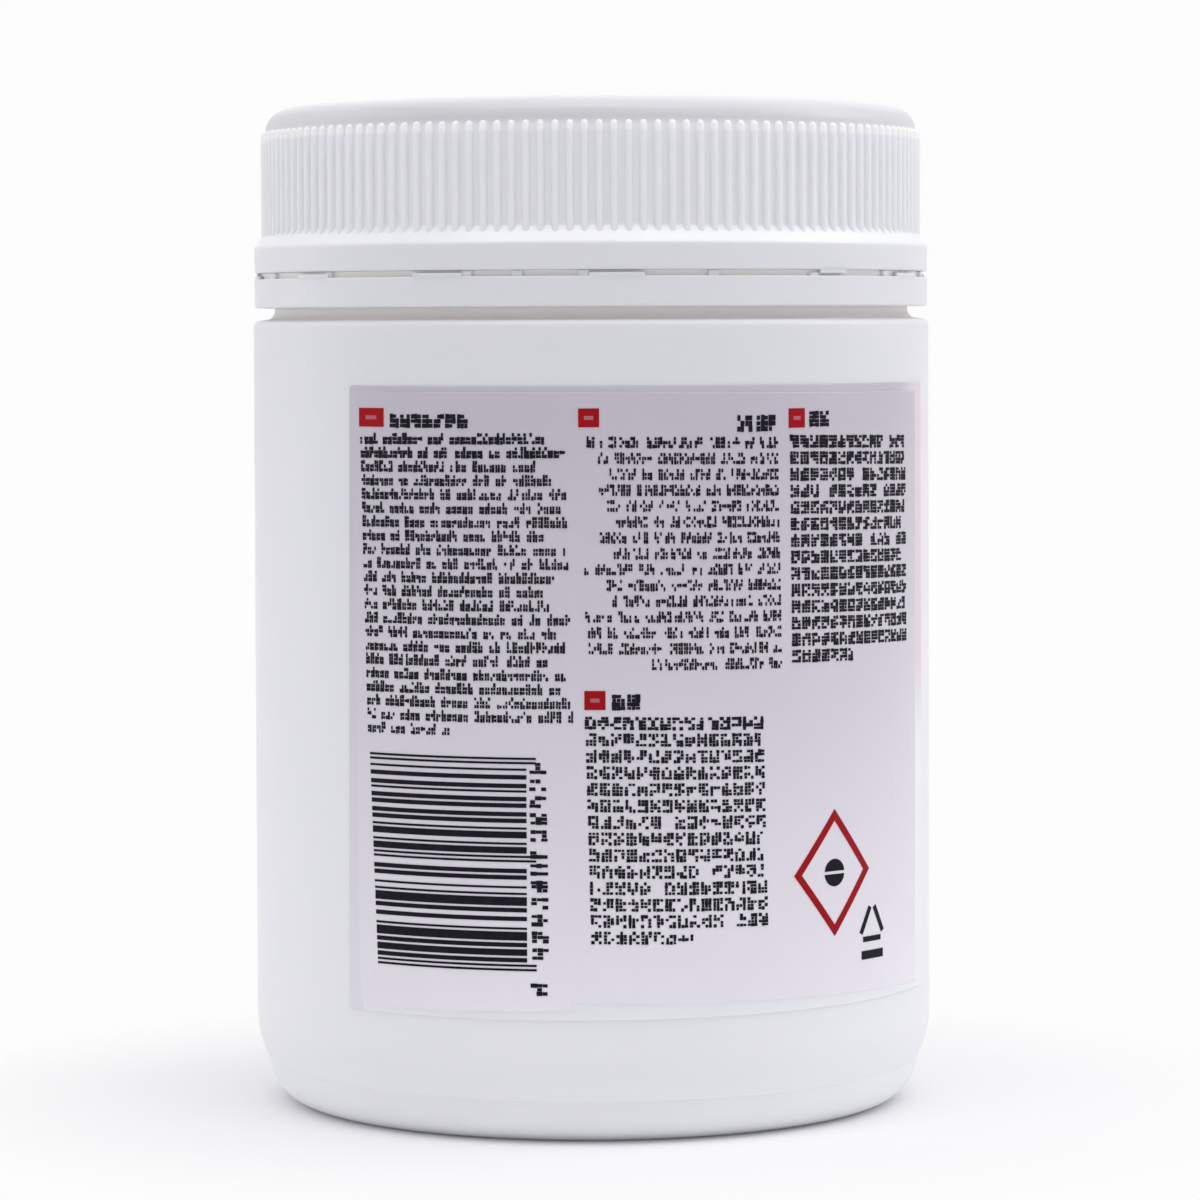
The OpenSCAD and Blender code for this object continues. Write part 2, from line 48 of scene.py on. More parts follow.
class Wire:
    def __init__(self, socket):
        self.socket = socket

    def __add__(self, other):
        return calc(self.socket.id_data, "ADD", self, other)

    def __sub__(self, other):
        return calc(self.socket.id_data, "SUBTRACT", self, other)

    def __rsub__(self, other):
        return calc(self.socket.id_data, "SUBTRACT", other, self)

    def __mul__(self, other):
        return calc(self.socket.id_data, "MULTIPLY", self, other)

    def __truediv__(self, other):
        return calc(self.socket.id_data, "DIVIDE", self, other)

    def __rtruediv__(self, other):
        return calc(self.socket.id_data, "DIVIDE", other, self)

    def __floordiv__(self, other):
        return calc(self.socket.id_data, "FLOOR", self/other)

    def __mod__(self, other):
        return calc(self.socket.id_data, "MODULO", self, other)

    def __gt__(self, other):
        return calc(self.socket.id_data, "GREATER_THAN", self, other)

    def __lt__(self, other):
        return calc(self.socket.id_data, "LESS_THAN", self, other)


def feed(node, key, value):
    value = getattr(value, "socket", value)
    if isinstance(value, bpy.types.NodeSocket):
        node.id_data.links.new(value, node.inputs[key])
    else:
        node.inputs[key].default_value = value


def addNode(tree, kind, inputs=None, **settings):
    node = tree.nodes.new(kind)
    for key, value in settings.items():
        setattr(node, key, value)
    for key, value in (inputs or {}).items():
        feed(node, key, value)
    return node


def result(tree, kind, inputs=None, output=0, **settings):
    return Wire(addNode(tree, kind, inputs, **settings).outputs[output])


def calc(tree, operation, *values):
    return result(tree, "ShaderNodeMath", dict(enumerate(values)), operation=operation)


def vector(tree, x, y, z):
    return result(tree, "ShaderNodeCombineXYZ", {0: x, 1: y, 2: z})


def splitVector(tree, place):
    parts = addNode(tree, "ShaderNodeSeparateXYZ", {0: place}).outputs
    return {axis: Wire(parts[axis]) for axis in "XYZ"}


def mixColors(tree, share, first, second, blend="MIX"):
    return result(tree, "ShaderNodeMix", {0: share, 6: first, 7: second}, 2,
                  data_type="RGBA", blend_type=blend)


def randomBetween(tree, low, high, identity, seed):
    return result(tree, "FunctionNodeRandomValue",
                  {2: low, 3: high, "ID": identity, "Seed": seed}, 1, data_type="FLOAT")


# Mesh helpers

def rounded(points, segments=4):
    # each point is r, z and, if its corner is rounded, the fillet radius
    path = []
    for i, point in enumerate(points):
        here = Vector(point[:2])
        if len(point) < 3 or i in (0, len(points) - 1):
            path.append(here)
            continue
        before = Vector(points[i - 1][:2]) - here
        after = Vector(points[i + 1][:2]) - here
        half = before.angle(after)/2
        cut = min(point[2]/math.tan(half), 0.4*before.length, 0.4*after.length)
        before.normalize()
        after.normalize()
        fillet = cut*math.tan(half)
        centre = here + (before + after).normalized()*(fillet/math.sin(half))
        first = (here + before*cut - centre).normalized()
        last = (here + after*cut - centre).normalized()
        path.append(here + before*cut*1.2)  # keeps the flat beside the fillet flat
        for step in range(segments + 1):
            path.append(centre + first.slerp(last, step/segments)*fillet)
        path.append(here + after*cut*1.2)
    return path


def arcPoints(centreR, centreZ, radiusR, radiusZ, start, end, steps):
    points = []
    for i in range(steps + 1):
        a = math.radians(start + (end - start)*i/steps)
        points.append((centreR + radiusR*math.cos(a), centreZ + radiusZ*math.sin(a)))
    return points


def revolve(bm, path, steps):
    rings = []
    for r, z in path:
        if r < 1e-6:
            rings.append([bm.verts.new((0, 0, z*mm))])
            continue
        turn = [2*math.pi*i/steps for i in range(steps)]
        rings.append([bm.verts.new((r*mm*math.cos(a), r*mm*math.sin(a), z*mm)) for a in turn])
    pairs = list(zip(rings, rings[1:]))
    if len(rings[0]) > 1:
        pairs.append((rings[-1], rings[0]))
    for low, high in pairs:
        for i in range(steps):
            j = (i + 1) % steps
            corners = [low[i % len(low)], low[j % len(low)], high[j % len(high)],
                       high[i % len(high)]]
            corners = [c for n, c in enumerate(corners) if c not in corners[:n]]
            if len(corners) > 2:
                bm.faces.new(corners)


def onRing(angle, r, z):
    a = math.radians(angle)
    return Vector((r*math.sin(a), -r*math.cos(a), z))*mm


def loft(bm, rings):
    for a, b in zip(rings, rings[1:]):
        for k in range(len(a)):
            n = (k + 1) % len(a)
            bm.faces.new((a[k], a[n], b[n], b[k]))
    bm.faces.new(rings[0])
    bm.faces.new(list(reversed(rings[-1])))
    bmesh.ops.recalc_face_normals(bm, faces=bm.faces)


def arcBlock(bm, at, span, r0, r1, z0, z1, soft, steps=6):
    block = bmesh.new()
    corners = ((r0, z0), (r1, z0), (r1, z1), (r0, z1))
    angles = [at - span/2 + span*i/steps for i in range(steps + 1)]
    loft(block, [[block.verts.new(onRing(angle, r, z)) for r, z in corners] for angle in angles])
    sharp = [e for e in block.edges if e.calc_face_angle(0) > math.radians(40)]
    bmesh.ops.bevel(block, geom=sharp, offset=soft*mm, segments=2, affect="EDGES", profile=0.5)
    addTo(bm, block)


def addTo(bm, part):
    mesh = bpy.data.meshes.new("part")
    part.to_mesh(mesh)
    part.free()
    bm.from_mesh(mesh)
    bpy.data.meshes.remove(mesh)


def threadRidge(bm, thread, rootRadius, outward, startZ):
    ridge = bmesh.new()
    steps = thread["steps"]
    sections = []
    for i in range(steps + 1):
        run = min(1, min(i, steps - i)/(steps*thread["runOut"]) + thread["least"])
        z = startZ + thread["pitch"]*i/steps
        turn = 2*math.pi*i/steps
        section = []
        for along, out in thread["section"]:
            r = rootRadius + outward*(out*thread["out"]*run if out > 0 else -thread["sunk"])
            section.append(ridge.verts.new((r*mm*math.cos(turn), r*mm*math.sin(turn),
                                            (z + along*thread["width"])*mm)))
        sections.append(section)
    loft(ridge, sections)
    addTo(bm, ridge)


def addObject(name, data):
    made = bpy.data.objects.new(name, data)
    bpy.context.scene.collection.objects.link(made)
    return made


def newPiece(name, bm, material, sharpAngle=35):
    mesh = bpy.data.meshes.new(name)
    bm.to_mesh(mesh)
    bm.free()
    mesh.materials.append(material)
    smooth(mesh, sharpAngle)
    return addObject(name, mesh)


def smooth(mesh, sharpAngle):
    mesh.polygons.foreach_set("use_smooth", [True]*len(mesh.polygons))
    mesh.set_sharp_from_angle(angle=math.radians(sharpAngle))


def finishPiece(piece, body, slotName, *nodes):
    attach(piece, body)
    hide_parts(*nodes)
    print("piece", piece.name, "faces", len(piece.data.polygons))


# Geometry Nodes helpers

def newTree(name, floats=(), ints=()):
    tree = bpy.data.node_groups.new(name, "GeometryNodeTree")
    tree.is_modifier = True
    sockets = [("Geometry", "Geometry"), ("material", "Material")]
    sockets += [(label, "Float") for label in floats] + [(label, "Int") for label in ints]
    for label, kind in sockets:
        tree.interface.new_socket(label, in_out="INPUT", socket_type="NodeSocket" + kind)
    tree.interface.new_socket("Geometry", in_out="OUTPUT", socket_type="NodeSocketGeometry")
    given = tree.nodes.new("NodeGroupInput").outputs
    return tree, {label: Wire(given[label]) for label, kind in sockets}


def endTree(tree, geometry, material):
    real = result(tree, "GeometryNodeRealizeInstances", {0: geometry})
    dressed = result(tree, "GeometryNodeSetMaterial", {0: real, "Material": material})
    addNode(tree, "NodeGroupOutput", {0: dressed})
    return tree


def runTree(carrier, tree, values):
    modifier = carrier.modifiers.new(tree.name, "NODES")
    modifier.node_group = tree
    for item in tree.interface.items_tree:
        if item.in_out == "INPUT" and item.name in values:
            modifier[item.identifier] = values[item.name]
    graph = bpy.context.evaluated_depsgraph_get()
    graph.update()
    made = bpy.data.meshes.new_from_object(carrier.evaluated_get(graph), depsgraph=graph)
    carrier.modifiers.clear()
    carrier.data = made


def emptyCarrier(name):
    return addObject(name, bpy.data.meshes.new(name))


# Jar: blow-moulded body, neck with its bead and thread

jarShape = {
    "bodyRadius": 41.0, "draft": 0.15, "straightTop": 93.7, "shoulder": 94.5, "wall": 1.2,
    "shoulderRound": 0.8, "cornerHeight": 11.0, "cornerWidth": 9.5, "mouldLine": 5.2,
    "mouldStep": 0.23, "footCurve": 5.0, "footOuter": 34.46, "footInner": 32.96,
    "pushUp": 2.0, "floor": 3.4, "neckRoot": 38.3, "neckCurve": 1.1, "bead": 39.2,
    "beadLow": 97.3, "beadHigh": 97.9, "finish": 36.3, "finishLow": 100.2, "top": 117.05,
    "pushSlope": 4, "footRise": 0.35, "footFlat": 0.7, "wallSteps": 8, "innerRound": 1.5,
    "innerTurn": 60, "steps": 224}

thread = {"pitch": 5.0, "width": 2.0, "out": 1.2, "sunk": 0.3, "steps": 120, "start": 108.05,
          "capDrop": 1.8, "runOut": 0.125, "least": 0.04,
          "section": ((-0.5, -1), (-0.45, 0.25), (-0.28, 0.85), (-0.14, 1), (0.14, 1),
                      (0.28, 0.85), (0.45, 0.25), (0.5, -1))}


def jarRadius(z):
    share = (z - jarShape["cornerHeight"])/(jarShape["straightTop"] - jarShape["cornerHeight"])
    return jarShape["bodyRadius"] - jarShape["draft"]*share


def jarPath(j):
    centre = j["bodyRadius"] - j["cornerWidth"]
    foot = j["footOuter"] + j["footCurve"]
    mouldTop = j["mouldLine"] + j["mouldStep"]
    mouldAngle = math.degrees(math.asin((j["cornerHeight"] - mouldTop)/j["cornerHeight"]))
    shoulder = jarRadius(j["straightTop"])
    mouth, neck = j["finish"] - j["wall"], j["neckRoot"] - j["wall"]
    path = rounded([(0, j["pushUp"]), (j["footInner"] - j["pushSlope"], j["pushUp"], 2),
                    (j["footInner"] - 0.5, j["footRise"], 0.6), (j["footInner"], 0, 0.3),
                    (j["footInner"] + j["footFlat"], 0)])
    path += arcPoints(j["footOuter"], j["mouldLine"], j["footCurve"], j["mouldLine"],
                      -90, -4, 16)
    path += rounded([(foot, j["mouldLine"] - 0.3), (foot + 0.02, j["mouldLine"], 0.12),
                     (foot + j["mouldStep"], mouldTop, 0.1),
                     (foot + j["mouldStep"] + 0.1, mouldTop + 0.25)], 3)
    path += arcPoints(centre, j["cornerHeight"], j["cornerWidth"], j["cornerHeight"],
                      -mouldAngle + 4, 0, 18)
    for i in range(1, j["wallSteps"]):
        z = j["cornerHeight"] + (j["straightTop"] - j["cornerHeight"])*i/j["wallSteps"]
        path.append((jarRadius(z), z))
    path.append((shoulder, j["straightTop"] - 0.3))
    path += arcPoints(shoulder - j["shoulderRound"], j["straightTop"], j["shoulderRound"],
                      j["shoulderRound"], 0, 90, 8)
    path += arcPoints(j["neckRoot"] + j["neckCurve"], j["shoulder"] + j["neckCurve"] + 0.1,
                      j["neckCurve"], j["neckCurve"], 270, 180, 8)
    path += rounded([(j["neckRoot"], j["beadLow"] - 0.6), (j["neckRoot"], j["beadLow"], 0.15),
                     (j["bead"], j["beadLow"], 0.15), (j["bead"], j["beadHigh"], 0.15),
                     (j["finish"], j["finishLow"], 0.4), (j["finish"], j["top"], 0.3),
                     (mouth, j["top"], 0.2), (mouth, j["finishLow"] - 1.2, 0.4),
                     (neck - 0.2, j["beadLow"], 0.3), (neck, j["shoulder"] + j["wall"]/2)])
    path += arcPoints(shoulder - j["wall"] - j["innerRound"],
                      j["shoulder"] - j["wall"] - j["innerRound"], j["innerRound"],
                      j["innerRound"], 60, 0, 5)
    path += arcPoints(centre, j["cornerHeight"], j["cornerWidth"] - j["wall"],
                      (j["cornerHeight"] - j["floor"])/math.sin(math.radians(j["innerTurn"])),
                      0, -j["innerTurn"], 8)
    return path + [(0, j["floor"])]


# Finishes: colours go by height as painted light and shade, where the lamps alone don't reach the
# tones wanted. Finishes: colours go by height where lamps alone don't reach the photo's tones

def startMaterial(name, **values):
    material = bpy.data.materials.new(name)
    material.use_nodes = True
    tree = material.node_tree
    shader = tree.nodes["Principled BSDF"]
    for label, value in values.items():
        feed(shader, label.replace("_", " "), value)
    return material, tree, shader, result(tree, "ShaderNodeTexCoord", output="Object")


def noise(tree, place, scale, detail=3.0, stretch=(1, 1, 1)):
    mapped = result(tree, "ShaderNodeMapping", {"Vector": place, "Scale": stretch})
    return result(tree, "ShaderNodeTexNoise",
                  {"Vector": mapped, "Scale": scale, "Detail": detail}, "Fac")


def cellNodes(tree, place, scale, output="Distance"):
    return result(tree, "ShaderNodeTexVoronoi", {"Vector": place, "Scale": scale}, output)


def addBump(tree, shader, layers):
    # layers of height, strength and depth in millimetres, the coarsest first
    normal = None
    for height, strength, depth in layers:
        inputs = {"Height": height, "Strength": strength, "Distance": depth*mm}
        if normal:
            inputs["Normal"] = normal
        normal = result(tree, "ShaderNodeBump", inputs)
    feed(shader, "Normal", normal)


def spread(tree, value, low, high, toLow=0.0, toHigh=1.0):
    return result(tree, "ShaderNodeMapRange",
                  {"Value": value, "From Min": low, "From Max": high, "To Min": toLow,
                   "To Max": toHigh}, clamp=True)


plasticGrain = {
    "scatter": (1.0, 0.86, 0.72), "middle": (0.3, 0.7), "cloudDetail": 4.0,
    "cloudStretch": (1, 1, 0.45), "roughSpan": 0.03, "waveStretch": (1, 1, 0.5), "bump": 0.35,
    "paintedGapLow": (94.3, 94.8), "paintedGapHigh": (102.8, 102.2), "paintedGapBlend": 0.5}


def whitePlastic(name, p):
    g = plasticGrain
    material, tree, shader, place = startMaterial(
        name, Subsurface_Weight=p["wax"], Subsurface_Scale=p["depth"]*mm,
        Subsurface_Radius=g["scatter"], Specular_IOR_Level=p["gloss"])
    cloud = noise(tree, place, p["cloudScale"], g["cloudDetail"], g["cloudStretch"])
    parts = splitVector(tree, place)
    color = p["color"]
    # height bands of painted light and shade, each blending in from its low to its high edge
    for low, high, tone in p["paintedLightZones"]:
        color = mixColors(tree, spread(tree, parts["Z"], low*mm, high*mm), color, tone)
    shaded = mixColors(tree, 1.0, color, p["shade"], "MULTIPLY")
    color = mixColors(tree, spread(tree, cloud, *g["middle"]), color, shaded)
    # in the slit and at the neck the colour turns to a paler warm tone: painted light in the gaps
    fromAxis = result(tree, "ShaderNodeVectorMath", {0: vector(tree, parts["X"], parts["Y"], 0)},
                      "Value", operation="LENGTH")
    inside = spread(tree, fromAxis, p["paintedGapRadius"]*mm, (p["paintedGapRadius"] - g["paintedGapBlend"])*mm)
    slit = (spread(tree, parts["Z"], *(z*mm for z in g["paintedGapLow"]))
            * spread(tree, parts["Z"], *(z*mm for z in g["paintedGapHigh"])))
    feed(shader, "Base Color", mixColors(tree, inside*slit, color, p["paintedGapLight"]))
    grain = noise(tree, place, p["grainScale"], 1.0)
    feed(shader, "Roughness", spread(tree, grain, *g["middle"], p["rough"] - g["roughSpan"],
                                     p["rough"] + g["roughSpan"]))
    wave = noise(tree, place, p["waveScale"], 1.0, g["waveStretch"])
    addBump(tree, shader, [(wave, g["bump"], p["wave"])])
    return material


# painted shade: the jar darkens from the foot up to the shoulder
jarPlastic = whitePlastic("jarPlastic", {
    "color": (0.94, 0.94, 0.98, 1), "shade": (0.97, 0.97, 0.975, 1), "cloudScale": 28,
    "paintedLightZones": ((5, 90, (0.81, 0.81, 0.85, 1)),),
    "grainScale": 120, "waveScale": 60, "wave": 0.05, "rough": 0.36,
    "wax": 0.15, "depth": 1.5, "gloss": 0.45,
    "paintedGapLight": (0.99, 0.965, 0.94, 1), "paintedGapRadius": 39.9})
# painted highlight on the bevel, painted light on the wall between the ribs, painted shade on the
# crown's rounded edge and a painted highlight on the top rim
capPlastic = whitePlastic("capPlastic", {
    "color": (0.80, 0.80, 0.84, 1), "shade": (0.975, 0.975, 0.98, 1), "cloudScale": 40,
    "paintedLightZones": ((102.9, 103.6, (0.96, 0.965, 1.0, 1)), (105.0, 105.8, (0.92, 0.92, 0.955, 1)),
              (116.5, 117.4, (0.685, 0.685, 0.71, 1)), (118.6, 119.9, (0.88, 0.88, 0.91, 1))),
    "grainScale": 90, "waveScale": 40, "wave": 0.02, "rough": 0.34,
    "wax": 0.15, "depth": 1.5, "gloss": 0.5,
    "paintedGapLight": (0.93, 0.90, 0.86, 1), "paintedGapRadius": 40.4})
# a paler copy of the cap plastic: painted light on the ribs, with white rib tops as a painted
# highlight
ribPlasticPaintedLight = whitePlastic("ribPlasticPaintedLight", {
    "color": (0.89, 0.89, 0.925, 1), "shade": (0.985, 0.985, 0.99, 1), "cloudScale": 25,
    "paintedLightZones": ((115.7, 116.2, (1.0, 1.0, 1.0, 1)),),
    "grainScale": 40, "waveScale": 20, "wave": 0.004, "rough": 0.33,
    "wax": 0.0, "depth": 1.0, "gloss": 0.5,
    "paintedGapLight": (0.95, 0.925, 0.89, 1), "paintedGapRadius": 30.0})


labelGrain = {
    "lightFrom": 86, "lightTo": 16, "lightPower": 1.35, "cloudScale": 45, "cloudDetail": 4.0,
    "cloud": (0.35, 0.75, 0.0, 0.25), "fleckScale": 420.0, "fleckEdge": 0.16, "roughScale": 600,
    "rough": (0.3, 0.7, 0.34, 0.44), "waveScale": 55, "wave": (0.3, 0.05),
    "bubble": (0.1, 0.02), "rim": (36.5, 38.2), "rimLow": (44, 54), "rimShare": 0.8,
    "foot": (16.97, 16.90), "footLeft": (-26.8, -26.5)}


def labelFinish(name, p):
    g = labelGrain
    material, tree, shader, place = startMaterial(
        name, Coat_Weight=p["coat"], Coat_Roughness=0.28, Specular_IOR_Level=0.45)
    parts = splitVector(tree, place)

    def along(axis, start, end, share=1.0):
        return spread(tree, parts[axis], start*mm, end*mm, 0.0, share)

    # painted light: the label grows paler from its top towards its foot
    light = calc(tree, "POWER", along("Z", g["lightFrom"], g["lightTo"]), g["lightPower"])
    color = mixColors(tree, light, p["color"], p["paler"])
    cloud = noise(tree, place, g["cloudScale"], g["cloudDetail"])
    color = mixColors(tree, spread(tree, cloud, *g["cloud"]), color, p["blush"])
    if "edge" in p:
        rim = along("X", *g["rim"])
        color = mixColors(tree, rim*along("Z", *g["rimLow"], g["rimShare"]), color, p["edge"])
        # below the leaves and at the lower right the film is clear
        foot = along("Z", *g["foot"])*along("X", *g["footLeft"])
        side = rim*along("Z", *reversed(g["rimLow"]))
        color = mixColors(tree, calc(tree, "MAXIMUM", foot, side), color, p["clear"])
    feed(shader, "Base Color", color)
    bubble = spread(tree, cellNodes(tree, place, g["fleckScale"]), 0.0, g["fleckEdge"], 1.0, 0.0)
    feed(shader, "Roughness", spread(tree, noise(tree, place, g["roughScale"]), *g["rough"]))
    addBump(tree, shader, [(noise(tree, place, g["waveScale"], 1.0), *g["wave"]),
                           (bubble, *g["bubble"])])
    return material


leafFinish = labelFinish("labelLeaf", {
    "color": (0.555, 0.52, 0.595, 1), "paler": (0.92, 0.885, 0.96, 1),
    "blush": (0.74, 0.69, 0.75, 1), "coat": 0.25})
filmFinish = labelFinish("labelFilm", {
    "color": (0.55, 0.525, 0.60, 1), "paler": (0.85, 0.825, 0.895, 1),
    "blush": (0.72, 0.69, 0.74, 1), "coat": 0.2, "edge": (0.84, 0.66, 0.72, 1),
    "clear": (0.905, 0.91, 0.95, 1)})


inkGrain = {"wearScale": 900, "wear": (0.45, 0.8), "rough": (0.5, 0.7), "bumpScale": 1200,
            "bump": (0.2, 0.01), "gloss": 0.12}


def inkFinish(name, color, worn):
    g = inkGrain
    material, tree, shader, place = startMaterial(name, Specular_IOR_Level=g["gloss"])
    wear = spread(tree, noise(tree, place, g["wearScale"], 4.0), *g["wear"])
    feed(shader, "Base Color", mixColors(tree, wear, color, worn))
    feed(shader, "Roughness", spread(tree, wear, 0, 1, *g["rough"]))
    addBump(tree, shader, [(noise(tree, place, g["bumpScale"], 2.0), *g["bump"])])
    return material


blackInk = inkFinish("blackInk", (0.005, 0.004, 0.010, 1), (0.014, 0.012, 0.022, 1))
redInk = inkFinish("redInk", (0.35, 0.002, 0.006, 1), (0.38, 0.006, 0.014, 1))
paleInk = inkFinish("paleInk", (0.46, 0.15, 0.19, 1), (0.42, 0.11, 0.15, 1))


foamLook = {"rough": 0.8, "cellScale": 2200.0, "cellEdge": 0.7, "bump": (0.4, 0.05),
            "dark": (0.82, 0.82, 0.79, 1), "pale": (0.92, 0.92, 0.88, 1)}


def foamFinish(p):
    material, tree, shader, place = startMaterial("linerFoam", Roughness=p["rough"])
    tone = spread(tree, cellNodes(tree, place, p["cellScale"]), 0.0, p["cellEdge"])
    feed(shader, "Base Color", mixColors(tree, tone, p["dark"], p["pale"]))
    addBump(tree, shader, [(tone, *p["bump"])])
    return material


tabletLook = {
    "rough": 0.85, "grainScale": 900.0, "blueShare": (0.80, 0.86), "blue": (0.22, 0.42, 0.78, 1),
    "cloudScale": 300, "cloud": (0.3, 0.7), "dark": (0.80, 0.86, 0.91, 1),
    "pale": (0.88, 0.91, 0.93, 1), "bumpScale": 350, "bump": (0.4, 0.15),
    "grainBump": (0.5, 0.12)}


def tabletFinish(p):
    material, tree, shader, place = startMaterial("tabletPowder", Roughness=p["rough"])
    grains = addNode(tree, "ShaderNodeTexVoronoi", {"Vector": place, "Scale": p["grainScale"]})
    pick = result(tree, "ShaderNodeSeparateColor", {0: grains.outputs["Color"]})
    cloud = spread(tree, noise(tree, place, p["cloudScale"]), *p["cloud"])
    base = mixColors(tree, cloud, p["dark"], p["pale"])
    feed(shader, "Base Color", mixColors(tree, spread(tree, pick, *p["blueShare"]), base,
                                         p["blue"]))
    addBump(tree, shader, [(noise(tree, place, p["bumpScale"]), *p["bump"]),
                           (grains.outputs["Distance"], *p["grainBump"])])
    return material


print("materials made")

jarMesh = bmesh.new()
revolve(jarMesh, jarPath(jarShape), jarShape["steps"])
bmesh.ops.recalc_face_normals(jarMesh, faces=jarMesh.faces)
threadRidge(jarMesh, thread, jarShape["finish"], 1, thread["start"])
jarPiece = newPiece("jarShell", jarMesh, jarPlastic)
finishPiece(jarPiece, "jar", "jar_plastic", "jar")


# Cap: smooth crown, ribbed wall, bevel, skirt, thread inside

capShape = {
    "top": 119.95, "ceiling": 118.25, "wall": 39.3, "roundWide": 3.1, "roundHigh": 2.9,
    "bevelHigh": 105.25, "bevelLow": 103.25, "skirt": 40.7, "low": 100.15, "inner": 37.9,
    "skirtInner": 39.4, "recess": 0.2, "recessRadius": 33.6, "gate": 1.4,
    "gateSunk": 0.03, "skirtRise": 2.1, "steps": 224}

hangingTab = {"at": 43.7, "span": 6.0, "inner": 40.2, "outer": 40.6, "low": 99.73, "high": 100.55,
              "soft": 0.14}


def capPath(c):
    low, gateTop = c["top"] - c["recess"], c["top"] - c["gateSunk"]
    roundLow = c["top"] - c["roundHigh"]
    path = rounded([(0, gateTop), (c["gate"] - 0.3, gateTop, 0.1), (c["gate"], low, 0.1),
                    (c["recessRadius"], low, 0.3), (c["recessRadius"] + 0.4, c["top"], 0.3),
                    (c["recessRadius"] + 1.2, c["top"])])
    path += arcPoints(c["wall"] - c["roundWide"], roundLow, c["roundWide"], c["roundHigh"],
                      90, 0, 16)
    path += rounded([(c["wall"], roundLow - 0.3), (c["wall"], c["bevelHigh"], 0.35),
                     (c["skirt"], c["bevelLow"], 0.45), (c["skirt"], c["low"], 0.3),
                     (c["skirtInner"], c["low"], 0.15),
                     (c["skirtInner"], c["low"] + c["skirtRise"], 0.3),
                     (c["inner"], c["bevelHigh"] - 0.8, 0.4), (c["inner"], c["ceiling"], 0.5),
                     (0, c["ceiling"])])
    return path


capMesh = bmesh.new()
revolve(capMesh, capPath(capShape), capShape["steps"])
bmesh.ops.recalc_face_normals(capMesh, faces=capMesh.faces)
threadRidge(capMesh, thread, capShape["inner"], -1, thread["start"] - thread["capDrop"])
arcBlock(capMesh, hangingTab["at"], hangingTab["span"], hangingTab["inner"],
         hangingTab["outer"], hangingTab["low"], hangingTab["high"], hangingTab["soft"])
capPiece = newPiece("capShell", capMesh, capPlastic)
finishPiece(capPiece, "cap", "cap_plastic", "screw_cap")


# Grip ribs: one rib mesh, turned round the cap by nodes

ribShape = {
    "count": 148, "phase": 1.46, "foot": 103.9, "between": (104.6, 108.0, 112.5),
    "shoulder": 116.62, "dome": 0.5, "domeShares": (0.25, 0.5, 0.7, 0.85, 0.95, 0.99),
    "sharp": 50,
    "section": ((0.46, -0.3), (0.45, 0.0), (0.40, 0.08), (0.385, 0.28), (0.32, 0.42),
                (0.18, 0.52), (0, 0.55))}


def ribMesh(s, wall):
    bm = bmesh.new()
    half = s["section"]
    section = [(-u, h) for u, h in half] + [(u, h) for u, h in reversed(half[:-1])]
    levels = [(z, 1.0) for z in (s["foot"], *s["between"], s["shoulder"])]
    levels += [(s["shoulder"] + s["dome"]*share, math.sqrt(1 - share*share))
               for share in s["domeShares"]]
    loft(bm, [[bm.verts.new((u*size*mm, -(wall + (h*size if h > 0 else h))*mm, z*mm))
               for u, h in section] for z, size in levels])
    return bm


def ringTree():
    tree, given = newTree("copiesRoundAxis", ("phase",), ("count",))
    points = result(tree, "GeometryNodePoints", {"Count": given["count"]})
    step = math.tau/given["count"]
    turn = calc(tree, "MULTIPLY_ADD", result(tree, "GeometryNodeInputIndex"), step,
                given["phase"])
    copies = result(tree, "GeometryNodeInstanceOnPoints",
                    {"Points": points, "Instance": given["Geometry"],
                     "Rotation": vector(tree, 0, 0, turn)})
    return endTree(tree, copies, given["material"])


ribPiece = newPiece("gripRibs", ribMesh(ribShape, capShape["wall"]), ribPlasticPaintedLight,
                    ribShape["sharp"])
runTree(ribPiece, ringTree(), {"count": ribShape["count"], "material": ribPlasticPaintedLight,
                               "phase": math.radians(ribShape["phase"])})
smooth(ribPiece.data, ribShape["sharp"])
finishPiece(ribPiece, "cap", "cap_plastic", "screw_cap")


# Tamper band: ring with a lip, raised tabs and the bridges that tore off the skirt

bandShape = {
    "low": 96.0, "high": 99.45, "outer": 40.7, "inner": 39.5, "lip": 38.75, "lipHigh": 97.0,
    "web": 39.98, "webHigh": 100.13,
    "tabs": (-25.7, 4.2, 66.9, 97, 127, 157, 187, 217, 247, 277, 307), "tabSpan": 9.0,
    "tabHigh": 99.85, "tabInner": 40.2, "tabOuter": 40.62,
    "bridges": (-87, -68.3, -49, -20.5, -12, -1.2, 20.3, 58.8, 78, 98, 118, 138, 158, 178,
                198, 218, 238, 258),
    "bridgeSpan": 1.8, "bridgeInner": 39.55, "bridgeOuter": 40.42, "bridgeHigh": 100.12,
    "bridgeSoft": 0.12, "bridgeSteps": 3, "tabSoft": 0.06, "tabSteps": 8, "sunk": 0.3,
    "stub": 39.5, "stubHigh": 99.8, "steps": 224}


